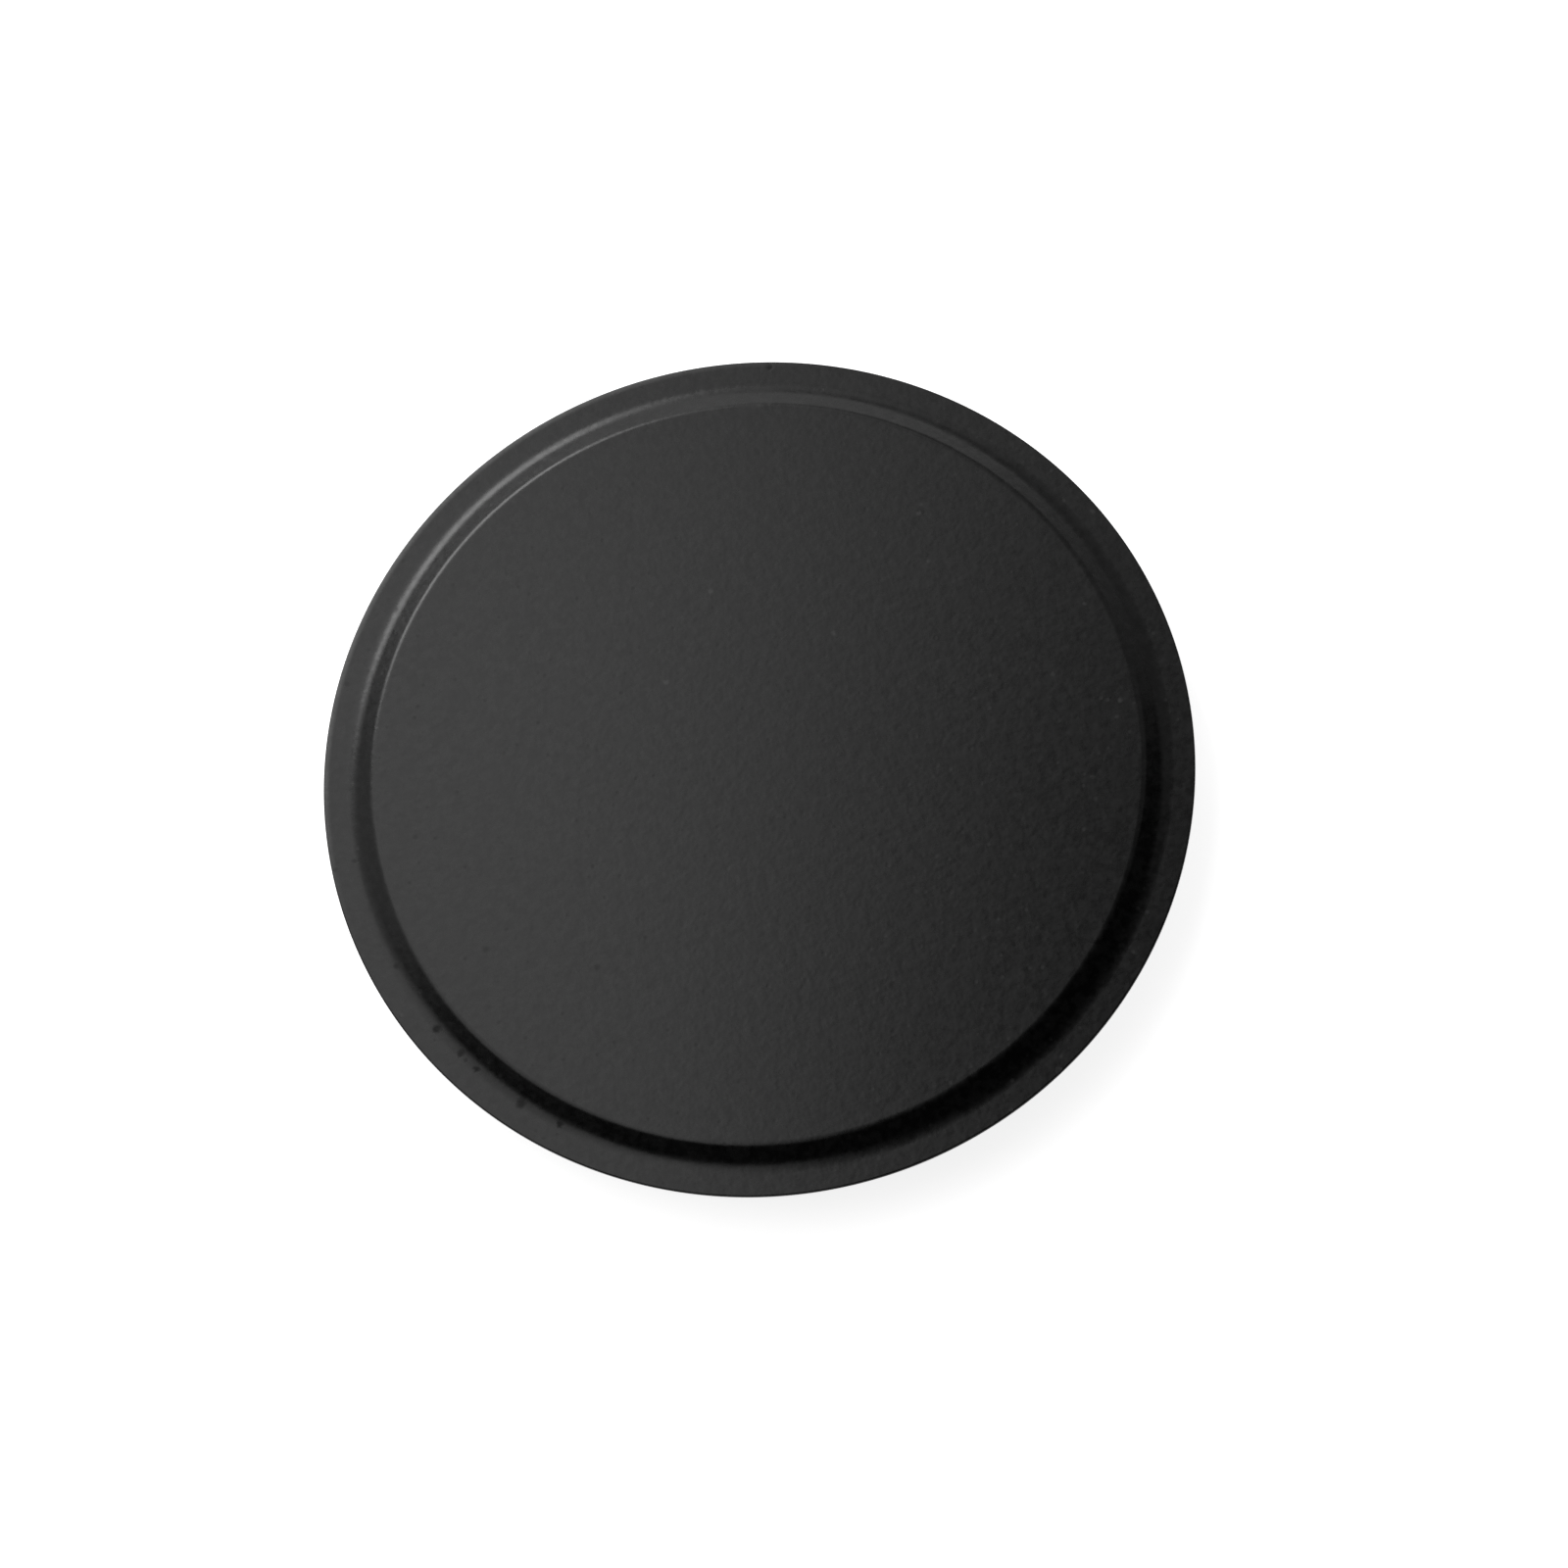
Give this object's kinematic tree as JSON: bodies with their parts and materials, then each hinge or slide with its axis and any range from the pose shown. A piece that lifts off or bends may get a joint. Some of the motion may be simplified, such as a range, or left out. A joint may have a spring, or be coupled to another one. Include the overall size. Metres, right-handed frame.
{
  "type": "metal lens cap",
  "caption": "Round screw-in lens cap turned from black anodised aluminium, with a thin flange, a raised flat face and a threaded collar behind",
  "frame": {"origin": "centre of the collar's rim, on the surface that the cap lies on", "axes": "+Z along the cap's axis, from the threaded collar towards the raised front face"},
  "size_m": [0.055, 0.055, 0.0052],
  "materials": {
    "black_anodised": "fine bead-blasted, black anodised, matt"
  },
  "bodies": {
    "root": {"cap_body": "black_anodised"}
  },
  "joints": []
}
